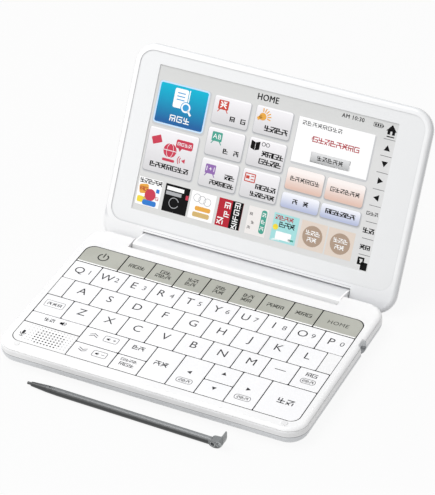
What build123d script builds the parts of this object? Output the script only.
from build123d import *
import math
import os

# A folding electronic dictionary, open on a desk, with its stylus lying in front of it.
# +X is the reader's right, +Y runs from the front edge to the hinge, +Z is up.
# The origin is on the desk under the middle of the base. Everything is in millimetres.

os.makedirs("parts", exist_ok=True)

# ---- keyboard grid ----
PITCH = 13.4  # width of one letter key with its gap
COLUMNS = 10
KEY_GAP = 0.35
KEY_T = 1.2
KEY_TRAVEL = 0.8
KEY_EDGE_R = 0.25
KEY_CORNER_R = 0.6
FIELD_CORNER_R = 4.5  # corners of the whole key field
BOTTOM_ROW = 21.3
LETTER_ROW = 13.35
FUNCTION_ROW = 12.8
HALF_KEY = 10.35  # depth of the front key where two keys share the bottom row
END_KEYS = 1.5  # columns taken by the power key and by the home key

# ---- base ----
SIDE_RIM = 4.4  # from the key field to the side edges
FIELD_FRONT = 6.0  # from the key field to the front edge
FIELD_REAR = 13.85  # from the key field to the rear edge
BASE_H = 9.0
FOOT_H = 0.6
BASE_CORNER_R = 9.0
BASE_TOP_R = 2.2
BASE_BOTTOM_R = 4.7
LOWER_H = 5.0  # height of the lower half
WALL = 1.4
WELL_GAP = 0.15
GROOVE_DROP = 1.0
GROOVE_H = 0.3
GROOVE_DEPTH = 0.35

# ---- hinge ----
NOTCH_HALF = 50.7
SPINE_END_GAP = 0.4
AXIS_INSET = 2.58  # both hinge axes lie this far inside the shells' rear edges
BASE_AXIS_DROP = 5.72  # below the base's top
LID_AXIS_DROP = 3.0  # below the lid's front plate
CLOSED_GAP = 0.8  # between the base's top and that plate when shut
SPINE_R = 5.42
SPINE_BACK = 1.9
SPINE_TILT = -13.49
LID_LEAN = 60.94  # the lid's front plate above the horizontal
SPINE_OVERHANG = 2.5
PIN_R = 1.0
PIN_RUNNING = 0.05
PIN_IN_SPINE = 6.0
PIN_OUT = 5.5
SPINE_PLATE_T = 0.8
SPINE_PLATE_FROM = 4.25  # height over the axes where the plate's edges lie
DESK_CLEAR = 0.1  # under the flats of the spine and of the lid's foot

# ---- lid ----
LID_LOW = -10.0
LID_SHORTER = 2.0  # than the base, front to rear
LID_CORNER_R = 10.0
LID_BACK = -5.6
LID_RIM = 0.3
LID_SPLIT = -1.6
LID_FRONT_R = 1.8
LID_BACK_R = 2.8
LID_NOTCH = -1.7
LID_RIM_W = 2.9
PLATE_LOW = 0.5
PLATE_CORNER_R = 6.5
WINDOW_FROM_LEFT = 9.8  # from the plate's edges to the window
WINDOW_FROM_RIGHT = 12.2
WINDOW_FROM_TOP = 5.6
WINDOW_LOW = 7.0
BEZEL_T = 0.45
GLASS_T = 0.9
GLASS_MARGIN = 2.4
DISPLAY_MARGIN = 1.2  # of the display round the window
DISPLAY_T = 2.3
LID_WALL = 1.2
RIB_HALF = 50.0  # of the three ribs that carry the display
RIB_W = 1.2
RIB_ROOT = 0.2

# ---- inside the base ----
BOARD_T = 0.8
SHEET_T = 0.3
BOARD_Z = 6.4
SPEAKER_X = 15.65  # from the key field's left edge to the speaker's middle
SPEAKER_Y = 6.3  # from the key field's front edge to the speaker's middle
SPEAKER_HOLE_R = 0.4
SPEAKER_COLUMNS = 9
SPEAKER_ROWS = 6
SPEAKER_STEP_X = 1.54
SPEAKER_STEP_Y = 1.65
SPEAKER_W = 16.0
SPEAKER_D = 10.8
SPEAKER_T = 3.0
DOOR_W = 64.0
DOOR_D = 25.0
DOOR_T = 1.2
DOOR_GAP = 0.15
BATTERY_T = 3.4
LEDGE = 1.6
SCREW_HEAD_R = 1.3
SCREW_HEAD_T = 0.9
SCREW_R = 0.7
SCREW_SINK = 1.2
SCREW_LENGTH = 5.1
SCREW_FRONT_INSET = 4.7
SCREW_REAR_INSET = 7.0
SCREW_REAR_SIDE = 8.9
FOOT_R = 3.6
FOOT_SINK = 0.4
FOOT_SIDE = 13.4  # from the side edges; the front screws stand in the same line
FOOT_INSET = 13.75
PAD_R = 1.5
PAD_H = 0.25
PAD_INSET = 4.1
PAD_SIDE = 9.0
POST_R = 1.6
POST_INSET = 6.0
POST_STEP = 16.0
TONGUE_X = 20.0
TONGUE_W = 8.0
TONGUE_L = 1.2
TONGUE_T = 0.5
CHIPS = (  # left, front, width, depth and height of the chips under the board
    (44.0, -8.0, 12.0, 12.0, 1.1),
    (-56.0, -17.0, 9.0, 8.0, 1.0),
    (4.0, -33.0, 18.0, 8.0, 1.2),
)

# ---- stylus ----
STYLUS_R = 1.72
NIB_R = 0.62
NIB_X = -50.3
NIB_L = 1.9
TAPER_R = 1.0
TAPER_L = 12.5
STYLUS_L = 86.9  # from the nib to the head
HEAD_W = 6.95
HEAD_T = 3.7
HORN_H = 5.8  # above the stylus axis
HEAD_DROP = 1.86  # below it
HEAD_EDGE = 0.25
HEAD_OVERLAP = 1.0  # of the head over the body's end
RECESS_DEPTH = 0.9
DETENT_X = 11.0  # from the nib's tip to the dimple that holds the stylus in its silo
DETENT_R = 0.6
DETENT_DEPTH = 0.35
RING_W = 0.35
RING_DEPTH = 0.2
STYLUS_MID_Y = -56.7
STYLUS_YAW = -1.19
STYLUS_TILT = -0.25
STYLUS_LIFT = 1.885
SILO_Y = 19.2
SILO_W = 4.6
SILO_FLOOR = 1.5
SILO_L = 97.4
FINGER_NOTCH_DEPTH = 1.7
FINGER_NOTCH_W = 5.6
FINGER_NOTCH_Z = 4.4

# ---- sockets on the left side ----
USB_Y = -6.0
USB_W = 7.8
USB_H = 2.8
JACK_Y = 8.0
JACK_R = 1.75
JACK_W = 6.4
JACK_H = 4.1
JACK_DROP = 2.3  # from the board down to the plug's axis
JACK_WALL = 1.7  # shell left in front of the earphone socket

# ---- values that follow ----
BASE_W = COLUMNS * PITCH + 2 * SIDE_RIM
BASE_D = FIELD_FRONT + BOTTOM_ROW + 3 * LETTER_ROW + FUNCTION_ROW + FIELD_REAR
BASE_BOTTOM = FOOT_H
BASE_TOP = BASE_BOTTOM + BASE_H
PARTING = BASE_BOTTOM + LOWER_H
REAR = BASE_D / 2
FRONT = -BASE_D / 2
SIDE = BASE_W / 2
FLOOR = BASE_BOTTOM + WALL
FIELD_Y0 = FRONT + FIELD_FRONT
ROW_Z_Y = FIELD_Y0 + BOTTOM_ROW
ROW_A_Y = ROW_Z_Y + LETTER_ROW
ROW_Q_Y = ROW_A_Y + LETTER_ROW
ROW_F_Y = ROW_Q_Y + LETTER_ROW
FIELD_Y1 = ROW_F_Y + FUNCTION_ROW
FIELD_HALF = COLUMNS * PITCH / 2
SPEAKER_PANEL_W = 2 * PITCH
SPEAKER_PANEL_D = PITCH
KEY_UNDER = BASE_TOP - KEY_T
AXIS_Y = REAR - AXIS_INSET
AXIS_Z = BASE_TOP - BASE_AXIS_DROP
AXIS_SPACING = BASE_AXIS_DROP + CLOSED_GAP + LID_AXIS_DROP
TILT = math.radians(SPINE_TILT)
LID_AXIS_Y = AXIS_Y + AXIS_SPACING * math.cos(TILT)
LID_AXIS_Z = AXIS_Z + AXIS_SPACING * math.sin(TILT)
NOTCH_Y = AXIS_Y - SPINE_R - 0.3
SPINE_HALF = NOTCH_HALF - SPINE_END_GAP
SHEET_TOP = BOARD_Z + BOARD_T + SHEET_T
GLASS_BACK = -BEZEL_T - GLASS_T
DISPLAY_BACK = GLASS_BACK - DISPLAY_T
LID_HIGH = LID_LOW + BASE_D - LID_SHORTER
PLATE_HALF = SIDE - LID_RIM_W
PLATE_HIGH = LID_HIGH - LID_RIM_W
WINDOW_LEFT = -PLATE_HALF + WINDOW_FROM_LEFT
WINDOW_RIGHT = PLATE_HALF - WINDOW_FROM_RIGHT
WINDOW_HIGH = PLATE_HIGH - WINDOW_FROM_TOP
SCREW_HEAD_Z = BASE_BOTTOM + SCREW_SINK
SCREW_TIP_Z = SCREW_HEAD_Z + SCREW_HEAD_T + SCREW_LENGTH
FRONT_LINE_X = SIDE - FOOT_SIDE
SPEAKER_MID_X = -FIELD_HALF + SPEAKER_X
SPEAKER_MID_Y = FIELD_Y0 + SPEAKER_Y
SILO_END = SIDE - SILO_L
STYLUS_END = NIB_X + STYLUS_L
SCREEN_X = (WINDOW_LEFT + WINDOW_RIGHT) / 2
SCREEN_V = (WINDOW_LOW + WINDOW_HIGH) / 2

LID_PLACE = (
    Pos(0, LID_AXIS_Y, LID_AXIS_Z) * Rot(LID_LEAN, 0, 0) * Pos(0, -LID_LOW - AXIS_INSET, LID_AXIS_DROP)
)


def block(x0, x1, y0, y1, z0, z1):
    """A box between stated faces."""
    return Pos((x0 + x1) / 2, (y0 + y1) / 2, (z0 + z1) / 2) * Box(x1 - x0, y1 - y0, z1 - z0)


def rounded_block(x0, x1, y0, y1, z0, z1, radius):
    """A box with its four upright edges rounded."""
    outline = Pos((x0 + x1) / 2, (y0 + y1) / 2, z0) * RectangleRounded(x1 - x0, y1 - y0, radius)
    return extrude(outline, z1 - z0)


def rod_z(x, y, z0, z1, radius):
    """An upright round rod."""
    return Pos(x, y, (z0 + z1) / 2) * Cylinder(radius, z1 - z0)


def rod_x(y, z, x0, x1, radius):
    """A round rod lying along X."""
    return Pos((x0 + x1) / 2, y, z) * Rot(0, 90, 0) * Cylinder(radius, x1 - x0)


def edges_at(solid, axis, position):
    """The edges of a solid that lie in one plane across an axis."""
    return solid.edges().filter_by_position(axis, position - 0.001, position + 0.001)


def column(number):
    """The X position of a boundary between key columns."""
    return (number - COLUMNS / 2) * PITCH


def write(name, *solids):
    """Write one node, as one solid or as several separate ones."""
    shape = solids[0] if len(solids) == 1 else Compound(children=list(solids))
    export_step(shape, f"parts/{name}.step")


# ---- base shells ----


def base_body():
    """The full outside shape of the base."""
    body = rounded_block(-SIDE, SIDE, FRONT, REAR, BASE_BOTTOM, BASE_TOP, BASE_CORNER_R)
    body = fillet(edges_at(body, Axis.Z, BASE_TOP), BASE_TOP_R)
    body = fillet(edges_at(body, Axis.Z, BASE_BOTTOM), BASE_BOTTOM_R)
    return body - block(-NOTCH_HALF, NOTCH_HALF, NOTCH_Y, REAR + 1, 0, BASE_TOP + 1)


def key_field(grow, z0, z1):
    """The rounded area of the whole key field."""
    return rounded_block(
        -FIELD_HALF - grow, FIELD_HALF + grow, FIELD_Y0 - grow, FIELD_Y1 + grow, z0, z1, FIELD_CORNER_R
    )


def stylus_silo():
    """The channel that stores the stylus, and the finger notch at its mouth."""
    channel = block(SILO_END, SIDE + 1, SILO_Y - SILO_W / 2, SILO_Y + SILO_W / 2, SILO_FLOOR, BOARD_Z)
    notch_x = SIDE - FINGER_NOTCH_DEPTH
    y0 = SILO_Y - FINGER_NOTCH_W / 2
    y1 = SILO_Y + FINGER_NOTCH_W / 2
    return channel + rounded_block(notch_x, SIDE + 9, y0, y1, FINGER_NOTCH_Z, BASE_TOP + 1, 1.2)


def side_groove():
    """The thin groove that runs round the shell just under its top edge."""
    z1 = BASE_TOP - GROOVE_DROP
    z0 = z1 - GROOVE_H
    outside = rounded_block(-SIDE - 1, SIDE + 1, FRONT - 1, REAR + 1, z0, z1, BASE_CORNER_R)
    top_arc = BASE_TOP_R - math.sqrt(BASE_TOP_R**2 - (BASE_TOP_R - GROOVE_DROP) ** 2)
    inset = top_arc + GROOVE_DEPTH
    kept = rounded_block(
        -SIDE + inset, SIDE - inset, FRONT + inset, REAR - inset, z0, z1, BASE_CORNER_R - inset
    )
    return outside - kept


def screw_places():
    """Two screws in the front rim and two beside the hinge."""
    front_y = FRONT + SCREW_FRONT_INSET
    rear_y = REAR - SCREW_REAR_INSET
    rear_x = SIDE - SCREW_REAR_SIDE
    return [(-FRONT_LINE_X, front_y), (FRONT_LINE_X, front_y), (-rear_x, rear_y), (rear_x, rear_y)]


def pad_places():
    """The two small pads on the front rim that the shut lid rests on."""
    return [(side * (SIDE - PAD_SIDE), FRONT + PAD_INSET) for side in (-1, 1)]


def speaker_panel():
    """The fixed tile over the speaker, with its grid of holes."""
    x1 = column(2) - KEY_GAP / 2
    y1 = FIELD_Y0 + SPEAKER_PANEL_D - KEY_GAP / 2
    field = key_field(0.4, KEY_UNDER, BASE_TOP)
    panel = field & block(-FIELD_HALF - 1, x1, FIELD_Y0 - 1, y1, KEY_UNDER, BASE_TOP)
    holes = []
    for i in range(SPEAKER_COLUMNS):
        for j in range(SPEAKER_ROWS):
            in_corner = i in (0, SPEAKER_COLUMNS - 1) and j in (0, SPEAKER_ROWS - 1)
            if not in_corner:
                x = SPEAKER_MID_X + (i - (SPEAKER_COLUMNS - 1) / 2) * SPEAKER_STEP_X
                y = SPEAKER_MID_Y + (j - (SPEAKER_ROWS - 1) / 2) * SPEAKER_STEP_Y
                holes.append(rod_z(x, y, KEY_UNDER - 1, BASE_TOP + 1, SPEAKER_HOLE_R))
    return panel - holes


def blank_tiles():
    """The half tiles at both ends of the second letter row, with ribs that hold the key sheet down."""
    tiles = []
    for side in (-1, 1):
        inner = side * (FIELD_HALF - PITCH / 2 + KEY_GAP / 2)
        outer = side * (FIELD_HALF + 0.4)
        x0, x1 = sorted((inner, outer))
        y0 = ROW_A_Y + KEY_GAP / 2
        y1 = ROW_Q_Y - KEY_GAP / 2
        tiles.append(block(x0, x1, y0, y1, KEY_UNDER, BASE_TOP))
        r0, r1 = sorted((side * (FIELD_HALF - 3.6), outer))
        tiles.append(block(r0, r1, y0 + 4, y1 - 4, SHEET_TOP, KEY_UNDER))
    return tiles


def panel_lines():
    """Shallow lines that mark the moulded tiles off from the rim."""
    depth = 0.35
    z0 = BASE_TOP - depth
    ring = key_field(WELL_GAP, z0, BASE_TOP + 1) - key_field(-WELL_GAP, z0, BASE_TOP + 1)
    return ring


def base_upper_case():
    """The white upper half: rim, side walls, speaker panel and blank tiles."""
    shell = base_body() & block(-SIDE, SIDE, FRONT, REAR, PARTING, BASE_TOP)
    shell -= key_field(WELL_GAP, PARTING - 1, BASE_TOP + 1)
    shell += speaker_panel()
    shell += blank_tiles()
    shell -= panel_lines()
    shell -= side_groove()
    shell -= stylus_silo()
    shell -= side_sockets()
    for x, y in screw_places():
        shell -= rod_z(x, y, PARTING - 1, SCREW_TIP_Z + 0.3, SCREW_R + 0.02)
    return shell


def board_posts():
    """Posts that carry the main board, and the posts round the screws."""
    posts = []
    outer = FIELD_HALF - POST_INSET
    rear_y = FIELD_Y1 - POST_INSET
    for side in (-1, 1):
        for step in range(3):
            posts.append(rod_z(side * (outer - step * POST_STEP), rear_y, FLOOR - 0.2, BOARD_Z, POST_R))
        posts.append(rod_z(side * outer, FIELD_Y0 + BOTTOM_ROW, FLOOR - 0.2, BOARD_Z, POST_R))
        inner = outer - 2 * POST_STEP
        posts.append(rod_z(side * inner, FIELD_Y0 + POST_INSET, FLOOR - 0.2, BOARD_Z, POST_R))
    return posts


def base_lower_case():
    """The lower half: floor, curved foot band, silo walls, battery bay, posts and hinge blocks."""
    outside = base_body() & block(-SIDE, SIDE, FRONT, REAR, BASE_BOTTOM, PARTING)
    inner_y1 = NOTCH_Y - WALL
    hollow = rounded_block(
        -SIDE + 3.2, SIDE - 3.2, FRONT + 3.2, inner_y1, FLOOR, PARTING + 1, BASE_CORNER_R - 3.2
    )
    shell = outside - hollow
    half = SILO_W / 2
    shell += block(SILO_END - 1, SIDE - 3, SILO_Y - half - 0.9, SILO_Y + half + 0.9, FLOOR - 0.2, BOARD_Z)
    shell -= block(FIELD_HALF - 0.9, SIDE, SILO_Y - 4, SILO_Y + 4, PARTING, BOARD_Z + 1)
    bay_w = DOOR_W / 2 + 1.0
    bay_d = DOOR_D / 2 + 1.0
    shell += block(-bay_w, bay_w, -bay_d, bay_d, BASE_BOTTOM + DOOR_T, PARTING)
    for post in board_posts():
        shell += post
    for x, y in screw_places()[:2]:
        shell += rod_z(x, y, FLOOR - 0.2, PARTING, 2.0) & outside
    opening_w = DOOR_W / 2 + DOOR_GAP
    opening_d = DOOR_D / 2 + DOOR_GAP
    shell -= rounded_block(-opening_w, opening_w, -opening_d, opening_d, 0, BASE_BOTTOM + DOOR_T, 2.0)
    hold_w = DOOR_W / 2 - LEDGE
    hold_d = DOOR_D / 2 - LEDGE
    shell -= block(-hold_w, hold_w, -hold_d, hold_d, 0, PARTING + 1)
    slot_w = TONGUE_W / 2 + DOOR_GAP
    slot_z1 = BASE_BOTTOM + DOOR_T
    for x in (-TONGUE_X, TONGUE_X):
        slot_y0 = -opening_d - TONGUE_L - DOOR_GAP
        shell -= block(x - slot_w, x + slot_w, slot_y0, 0, slot_z1 - TONGUE_T - DOOR_GAP, slot_z1)
    shell -= stylus_silo()
    for x, y in screw_places():
        shell -= rod_z(x, y, BASE_BOTTOM - 1, SCREW_HEAD_Z + SCREW_HEAD_T, SCREW_HEAD_R + 0.1)
        shell -= rod_z(x, y, BASE_BOTTOM, PARTING + 1, SCREW_R + 0.1)
    for x, y in foot_places():
        shell -= rod_z(x, y, 0, BASE_BOTTOM + FOOT_SINK, FOOT_R + 0.05)
    for side in (-1, 1):
        x0, x1 = sorted((side * (NOTCH_HALF - 1), side * (NOTCH_HALF + PIN_OUT + 0.3)))
        shell -= rod_x(AXIS_Y, AXIS_Z, x0, x1, PIN_R + PIN_RUNNING)
    return shell - side_sockets()


def side_sockets():
    """The way through the left wall for the charging socket, and the earphone socket's pocket and hole."""
    half = USB_W / 2 + 0.3
    usb = block(-SIDE - 1, -SIDE + 5, USB_Y - half, USB_Y + half, BOARD_Z - USB_H - 0.3, BOARD_Z + 0.3)
    pocket = block(
        -SIDE + JACK_WALL, -SIDE + 6, JACK_Y - JACK_W / 2 - 0.2, JACK_Y + JACK_W / 2 + 0.2,
        BOARD_Z - JACK_H - 0.2, BOARD_Z + 0.3,
    )
    hole = rod_x(JACK_Y, BOARD_Z - JACK_DROP, -SIDE - 1, -SIDE + JACK_WALL + 1, JACK_R + 0.3)
    return usb + pocket + hole


def foot_places():
    """The four feet."""
    y = REAR - FOOT_INSET
    return [(-FRONT_LINE_X, -y), (FRONT_LINE_X, -y), (-FRONT_LINE_X, y), (FRONT_LINE_X, y)]


def rubber_feet():
    """Four feet under the base and the two small pads on its front rim."""
    pieces = []
    for x, y in foot_places():
        foot = rod_z(x, y, 0, BASE_BOTTOM + FOOT_SINK, FOOT_R)
        pieces.append(fillet(edges_at(foot, Axis.Z, 0), 0.3))
    for x, y in pad_places():
        pad = rod_z(x, y, BASE_TOP, BASE_TOP + PAD_H, PAD_R)
        pieces.append(fillet(edges_at(pad, Axis.Z, BASE_TOP + PAD_H), 0.15))
    return pieces


def case_screws():
    """Screws driven up through the lower half into the upper half."""
    arm = 0.6 * SCREW_HEAD_R
    width = 0.12 * SCREW_HEAD_R
    slot_z1 = SCREW_HEAD_Z + 0.45 * SCREW_HEAD_T
    pieces = []
    for x, y in screw_places():
        head = rod_z(x, y, SCREW_HEAD_Z, SCREW_HEAD_Z + SCREW_HEAD_T, SCREW_HEAD_R)
        cross = block(x - arm, x + arm, y - width, y + width, SCREW_HEAD_Z, slot_z1)
        cross += block(x - width, x + width, y - arm, y + arm, SCREW_HEAD_Z, slot_z1)
        shaft = rod_z(x, y, SCREW_HEAD_Z + SCREW_HEAD_T, SCREW_TIP_Z, SCREW_R)
        pieces.append(head + shaft - cross)
    return pieces


def battery_door():
    """The door over the battery, with two tongues and a finger recess."""
    z1 = BASE_BOTTOM + DOOR_T
    door = rounded_block(-DOOR_W / 2, DOOR_W / 2, -DOOR_D / 2, DOOR_D / 2, BASE_BOTTOM, z1, 1.9)
    for x in (-TONGUE_X, TONGUE_X):
        door += block(x - TONGUE_W / 2, x + TONGUE_W / 2, -DOOR_D / 2 - TONGUE_L, 0, z1 - TONGUE_T, z1)
    recess = rounded_block(-6, 6, DOOR_D / 2 - 3.4, DOOR_D / 2 - 1.2, BASE_BOTTOM, BASE_BOTTOM + 0.5, 1.0)
    return door - recess


def battery_pack():
    """The flat pack that lies on the door inside its bay."""
    z0 = BASE_BOTTOM + DOOR_T
    half_w = DOOR_W / 2 - LEDGE - 0.25
    half_d = DOOR_D / 2 - LEDGE - 0.25
    pack = block(-half_w, half_w, -half_d, half_d, z0, z0 + BATTERY_T)
    long_edges = pack.edges().filter_by(Axis.X)
    return fillet(long_edges, 1.0)


def board_outline(z0, height, inset):
    """The board's outline, cut away over the speaker and clear of the well's walls."""
    x1 = FIELD_HALF - inset
    sheet = rounded_block(-x1, x1, FIELD_Y0 + inset, FIELD_Y1 - inset, z0, z0 + height, 3.0)
    y1 = FIELD_Y0 + SPEAKER_PANEL_D + 1
    return sheet - block(-x1 - 1, column(2) + 1.5, FIELD_Y0 - 1, y1, z0 - 1, z0 + 2)


def main_board():
    """The board with its sockets on the left edge and the chips on its underside."""
    board = board_outline(BOARD_Z, BOARD_T, 0.6)
    left = -FIELD_HALF + 0.6
    usb_z0 = BOARD_Z - USB_H
    usb = block(-SIDE + 1.2, left + 2.5, USB_Y - USB_W / 2, USB_Y + USB_W / 2, usb_z0, BOARD_Z)
    usb -= block(
        -SIDE, -SIDE + 6, USB_Y - USB_W / 2 + 0.4, USB_Y + USB_W / 2 - 0.4, usb_z0 + 0.4, BOARD_Z - 0.4
    )
    jack_x0 = -SIDE + JACK_WALL + 0.2
    jack = block(jack_x0, left + 8, JACK_Y - JACK_W / 2, JACK_Y + JACK_W / 2, BOARD_Z - JACK_H, BOARD_Z)
    jack -= rod_x(JACK_Y, BOARD_Z - JACK_DROP, jack_x0 - 1, jack_x0 + 9, JACK_R)
    for chip_left, front, width, depth, height in CHIPS:
        board += block(chip_left, chip_left + width, front, front + depth, BOARD_Z - height, BOARD_Z)
    return board + usb + jack


def dome_sheet():
    """The rubber sheet on the board with a low dome under every key."""
    sheet = board_outline(BOARD_Z + BOARD_T, SHEET_T, 0.6)
    return sheet


def speaker_unit():
    """The flat speaker under the speaker panel."""
    x = SPEAKER_MID_X
    y = SPEAKER_MID_Y
    z0 = KEY_UNDER - SPEAKER_T
    body = rounded_block(
        x - SPEAKER_W / 2, x + SPEAKER_W / 2, y - SPEAKER_D / 2, y + SPEAKER_D / 2, z0, KEY_UNDER, 1.5
    )
    cone = rounded_block(
        x - SPEAKER_W / 2 + 1, x + SPEAKER_W / 2 - 1, y - SPEAKER_D / 2 + 1, y + SPEAKER_D / 2 - 1,
        KEY_UNDER - 0.6, KEY_UNDER, 1.0,
    )
    return body - cone


# ---- keys ----


def key_cap(x0, x1, y0, y1, field_corner=False):
    """One key cap between column and row boundaries; corner keys follow the field's round corner."""
    half_gap = KEY_GAP / 2
    cap = rounded_block(
        x0 + half_gap, x1 - half_gap, y0 + half_gap, y1 - half_gap, KEY_UNDER, BASE_TOP, KEY_CORNER_R
    )
    if field_corner:
        cap = cap & key_field(-half_gap, KEY_UNDER, BASE_TOP)
    return fillet(edges_at(cap, Axis.Z, BASE_TOP), KEY_EDGE_R)


def key_columns(c0, c1, y0, y1, field_corner=False):
    """One key cap between two column boundaries."""
    return key_cap(column(c0), column(c1), y0, y1, field_corner)


def letter_row(names, first_column, y0):
    """A row of keys, each one column wide."""
    keys = {}
    for i, name in enumerate(names):
        keys[name] = key_columns(first_column + i, first_column + i + 1, y0, y0 + LETTER_ROW)
    return keys


def all_keys():
    """Every key that has its own node."""
    keys = {}
    keys["power"] = key_columns(0, END_KEYS, ROW_F_Y, FIELD_Y1, True)
    keys["home"] = key_columns(COLUMNS - END_KEYS, COLUMNS, ROW_F_Y, FIELD_Y1, True)
    keys.update(letter_row("qwertyuiop", 0, ROW_Q_Y))
    keys.update(letter_row("asdfghjkl", 0.5, ROW_A_Y))
    third = ["shift"] + list("zxcvbnm") + ["dash", "delete"]
    keys.update(letter_row(third, 0, ROW_Z_Y))
    y0, split, y1 = FIELD_Y0, FIELD_Y0 + HALF_KEY, ROW_Z_Y
    keys["sound"] = key_columns(0, 2, FIELD_Y0 + SPEAKER_PANEL_D, y1)
    keys["page_up"] = key_columns(2, 3.5, split, y1)
    keys["page_down"] = key_columns(2, 3.5, y0, split)
    keys["symbol"] = key_columns(3.5, 4.5, split, y1)
    keys["space"] = key_columns(3.5, 4.5, y0, split)
    keys["back"] = key_columns(4.5, 5.5, y0, y1)
    keys["left"] = key_columns(5.5, 6.5, y0, y1)
    keys["up"] = key_columns(6.5, 7.5, split, y1)
    keys["down"] = key_columns(6.5, 7.5, y0, split)
    keys["right"] = key_columns(7.5, 8.5, y0, y1)
    keys["enter"] = key_columns(8.5, 10, y0, y1, True)
    return keys


def function_keys():
    """The seven keys between power and home."""
    return [key_columns(END_KEYS + i, END_KEYS + i + 1, ROW_F_Y, FIELD_Y1) for i in range(7)]


# ---- hinge ----


def off_desk(shape):
    """Cut a shape flat just above the desk, where the open hinge would reach down to it."""
    return shape & block(-SIDE - 1, SIDE + 1, FRONT, REAR + BASE_D, DESK_CLEAR, BASE_D)


def spine_profile(radius):
    """The spine's section: round over both axes, flat behind. X runs from the base's axis to the lid's."""
    low = radius - SPINE_R - SPINE_OVERHANG - 0.6
    high = AXIS_SPACING + SPINE_OVERHANG + SPINE_R - radius
    back = radius - SPINE_R - SPINE_BACK
    body = Pos(0, 0) * Circle(radius)
    body += Pos(AXIS_SPACING, 0) * Circle(radius)
    body += Pos(AXIS_SPACING / 2, radius / 2) * Rectangle(AXIS_SPACING, radius)
    body += Pos(AXIS_SPACING / 2, back / 2 + 0.5) * Rectangle(AXIS_SPACING, 1 - back)
    frame_h = radius - back
    frame = Pos((low + high) / 2, (radius + back) / 2) * RectangleRounded(high - low, frame_h, 0.9)
    cap = Pos((low + high) / 2, radius - 1) * Rectangle(high - low, 2)
    return body & (frame + cap)


def spine_place():
    """Spine sections are drawn in X-Y and swept along the hinge, then laid from axis to axis."""
    along = Plane(origin=(0, AXIS_Y, AXIS_Z), x_dir=(0, math.cos(TILT), math.sin(TILT)), z_dir=(1, 0, 0))
    return along


def sweep_spine(section, half):
    """A bar of a given section, centred on the middle of the hinge."""
    return extrude(spine_place() * Pos(0, 0, -half) * section, 2 * half)


def spine_cover_section():
    """The band on the spine's inner side that the cover plate fills."""
    band = spine_profile(SPINE_R) - spine_profile(SPINE_R - SPINE_PLATE_T)
    keep_h = SPINE_R - SPINE_PLATE_FROM
    keep = Pos(AXIS_SPACING / 2, SPINE_PLATE_FROM + keep_h / 2) * Rectangle(4 * AXIS_SPACING, keep_h)
    return band & keep


def hinge_spine():
    """The bar between the two hinge axes."""
    bar = sweep_spine(spine_profile(SPINE_R), SPINE_HALF)
    bar -= sweep_spine(spine_cover_section(), SPINE_HALF - 0.8)
    cable_way = Pos(AXIS_SPACING / 2, SPINE_R / 2 + 0.5) * Rectangle(AXIS_SPACING - 3, SPINE_R - 1)
    bar -= sweep_spine(cable_way & spine_profile(SPINE_R - SPINE_PLATE_T), SPINE_HALF - 10)
    for y, z in ((AXIS_Y, AXIS_Z), (LID_AXIS_Y, LID_AXIS_Z)):
        for side in (-1, 1):
            x0, x1 = sorted((side * (SPINE_HALF - PIN_IN_SPINE), side * (SPINE_HALF + 1)))
            bar -= rod_x(y, z, x0, x1, PIN_R)
    return bar


def spine_plate():
    """The grey plate on the spine's inner side."""
    return sweep_spine(spine_cover_section(), SPINE_HALF - 0.8)


def hinge_pins():
    """Two pins on the base's axis and two on the lid's, fixed in the spine."""
    pins = []
    for y, z in ((AXIS_Y, AXIS_Z), (LID_AXIS_Y, LID_AXIS_Z)):
        for side in (-1, 1):
            x0, x1 = sorted((side * (SPINE_HALF - PIN_IN_SPINE), side * (NOTCH_HALF + PIN_OUT)))
            pins.append(rod_x(y, z, x0, x1, PIN_R))
    return pins


# ---- lid, drawn flat with its front plate at zero height and placed afterwards ----


def lid_body():
    """The full outside shape of the lid."""
    body = rounded_block(-SIDE, SIDE, LID_LOW, LID_HIGH, LID_BACK, LID_RIM, LID_CORNER_R)
    body = fillet(edges_at(body, Axis.Z, LID_RIM), LID_FRONT_R)
    body = fillet(edges_at(body, Axis.Z, LID_BACK), LID_BACK_R)
    return body - block(-NOTCH_HALF, NOTCH_HALF, LID_LOW - 1, LID_NOTCH, LID_BACK - 1, LID_RIM + 1)


def glass_outline(z0, z1, grow):
    """The touch glass, a little wider than the window."""
    edge = GLASS_MARGIN + grow
    return rounded_block(
        WINDOW_LEFT - edge, WINDOW_RIGHT + edge, WINDOW_LOW - edge, WINDOW_HIGH + edge, z0, z1, 1.0
    )


def lid_front_frame():
    """The frame: raised rim, inset plate and window."""
    frame = lid_body() & block(-SIDE, SIDE, LID_LOW, LID_HIGH, LID_SPLIT, LID_RIM)
    frame -= rounded_block(-PLATE_HALF, PLATE_HALF, PLATE_LOW, PLATE_HIGH, 0, LID_RIM + 1, PLATE_CORNER_R)
    frame -= rounded_block(WINDOW_LEFT, WINDOW_RIGHT, WINDOW_LOW, WINDOW_HIGH, LID_SPLIT - 1, 1, 0.5)
    frame -= glass_outline(LID_SPLIT - 1, -BEZEL_T, 0.1)
    return frame


def lid_back_cover():
    """The back shell with its hinge blocks and the ribs that carry the display."""
    shell = lid_body() & block(-SIDE, SIDE, LID_LOW, LID_HIGH, LID_BACK, LID_SPLIT)
    inner_floor = LID_BACK + LID_WALL
    shell -= rounded_block(-SIDE + 2.2, SIDE - 2.2, 1.0, LID_HIGH - 2.2, inner_floor, 1, 7.0)
    for v in (WINDOW_LOW + 4, SCREEN_V, WINDOW_HIGH - 4):
        x0, x1 = SCREEN_X - RIB_HALF, SCREEN_X + RIB_HALF
        shell += block(x0, x1, v - RIB_W / 2, v + RIB_W / 2, inner_floor - RIB_ROOT, DISPLAY_BACK)
    for side in (-1, 1):
        x0, x1 = sorted((side * (NOTCH_HALF - 1), side * (NOTCH_HALF + PIN_OUT + 0.3)))
        shell -= rod_x(LID_LOW + AXIS_INSET, -LID_AXIS_DROP, x0, x1, PIN_R + PIN_RUNNING)
    return shell


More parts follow.
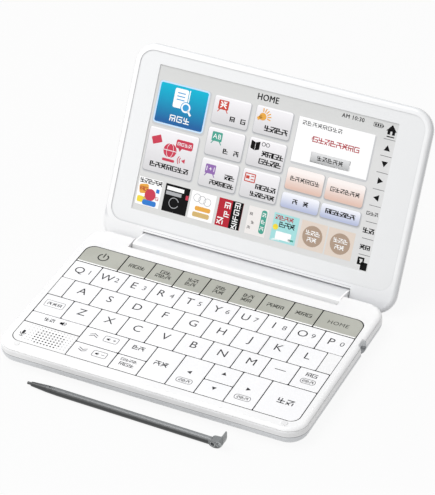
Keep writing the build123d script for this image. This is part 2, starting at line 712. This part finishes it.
def touch_panel():
    """The touch glass under the window."""
    return glass_outline(GLASS_BACK, -BEZEL_T, 0)


def display_module():
    """The display under the glass."""
    x0, x1 = WINDOW_LEFT - DISPLAY_MARGIN, WINDOW_RIGHT + DISPLAY_MARGIN
    y0, y1 = WINDOW_LOW - DISPLAY_MARGIN, WINDOW_HIGH + DISPLAY_MARGIN
    return rounded_block(x0, x1, y0, y1, DISPLAY_BACK, GLASS_BACK, 1.0)


# ---- stylus, drawn along X with its axis at zero height and laid on the desk afterwards ----


def head_point(across, up):
    """A point of the head's outline, as shares of its width and of its height over or under the axis."""
    return (STYLUS_END - HEAD_OVERLAP + across * HEAD_W, up * (HORN_H if up > 0 else HEAD_DROP))


def head_finger_recess(across, up, radius):
    """One of the two round recesses in the head's front face."""
    x, z = head_point(across, up)
    return Pos(x, -HEAD_T / 2, z) * Rot(90, 0, 0) * Cylinder(radius, 2 * RECESS_DEPTH)


def stylus_head():
    """The round head with its horn, two finger recesses and the rib between them."""
    top = [head_point(0, -0.02), head_point(0.07, 0.17), head_point(0.19, 0.29), head_point(0.36, 0.335)]
    top += [head_point(0.59, 0.36)]
    horn = [top[-1], head_point(0.7, 0.48), head_point(0.8, 0.7), head_point(0.92, 1)]
    side = [horn[-1], head_point(1, 1), head_point(1, 0.5)]
    foot = [side[-1], head_point(0.93, 0.15), head_point(0.8, -0.35), head_point(0.62, -0.85)]
    foot += [head_point(0.42, -1), head_point(0.2, -0.88), head_point(0.05, -0.5), top[0]]
    outline = make_face(Spline(*top) + Spline(*horn) + Polyline(*side) + Spline(*foot))
    head = extrude(Plane.XZ * outline, HEAD_T / 2, both=True)
    head = chamfer(edges_at(head, Axis.Y, -HEAD_T / 2), HEAD_EDGE)
    head -= head_finger_recess(0.29, 0.01, 0.13 * HEAD_W)
    return head - head_finger_recess(0.7, 0.15, 0.15 * HEAD_W)


def stylus():
    """The stylus: nib, tapered nose with a fine ring, round body and head."""
    nose_x = NIB_X + NIB_L
    body_x = nose_x + TAPER_L
    nib = rod_x(0, 0, NIB_X, nose_x + 0.5, NIB_R)
    profile = make_face(
        Polyline(
            (nose_x, 0), (nose_x, TAPER_R), (nose_x + 0.25 * TAPER_L, 0.72 * STYLUS_R),
            (nose_x + 0.6 * TAPER_L, 0.91 * STYLUS_R), (body_x, STYLUS_R), (STYLUS_END, STYLUS_R),
            (STYLUS_END, 0), (nose_x, 0),
        )
    )
    body = revolve(profile, Axis.X)
    ring_x = nose_x + 0.8 * TAPER_L
    ring = rod_x(0, 0, ring_x, ring_x + RING_W, STYLUS_R + 1)
    ring -= rod_x(0, 0, ring_x, ring_x + RING_W, STYLUS_R - RING_DEPTH)
    detent = rod_z(NIB_X + DETENT_X, 0, STYLUS_R - DETENT_DEPTH, STYLUS_R + 1, DETENT_R)
    whole = nib + body - ring - detent + stylus_head()
    return Pos(0, STYLUS_MID_Y, STYLUS_LIFT) * Rot(0, STYLUS_TILT, STYLUS_YAW) * whole


def main():
    write("base_upper_case", base_upper_case())
    write("base_lower_case", base_lower_case())
    write("rubber_feet", *rubber_feet())
    write("case_screws", *case_screws())
    write("battery_door", battery_door())
    write("battery_pack", battery_pack())
    write("main_board", main_board())
    write("dome_sheet", dome_sheet())
    write("speaker_unit", speaker_unit())
    write("hinge_spine", off_desk(hinge_spine()))
    write("spine_plate", spine_plate())
    write("hinge_pins", *hinge_pins())
    write("lid_front_frame", LID_PLACE * lid_front_frame())
    write("lid_back_cover", off_desk(LID_PLACE * lid_back_cover()))
    write("touch_panel", LID_PLACE * touch_panel())
    write("display_module", LID_PLACE * display_module())
    write("stylus", stylus())
    write("keys_function", *function_keys())
    for name, cap in all_keys().items():
        write(f"key_{name}", cap)


main()
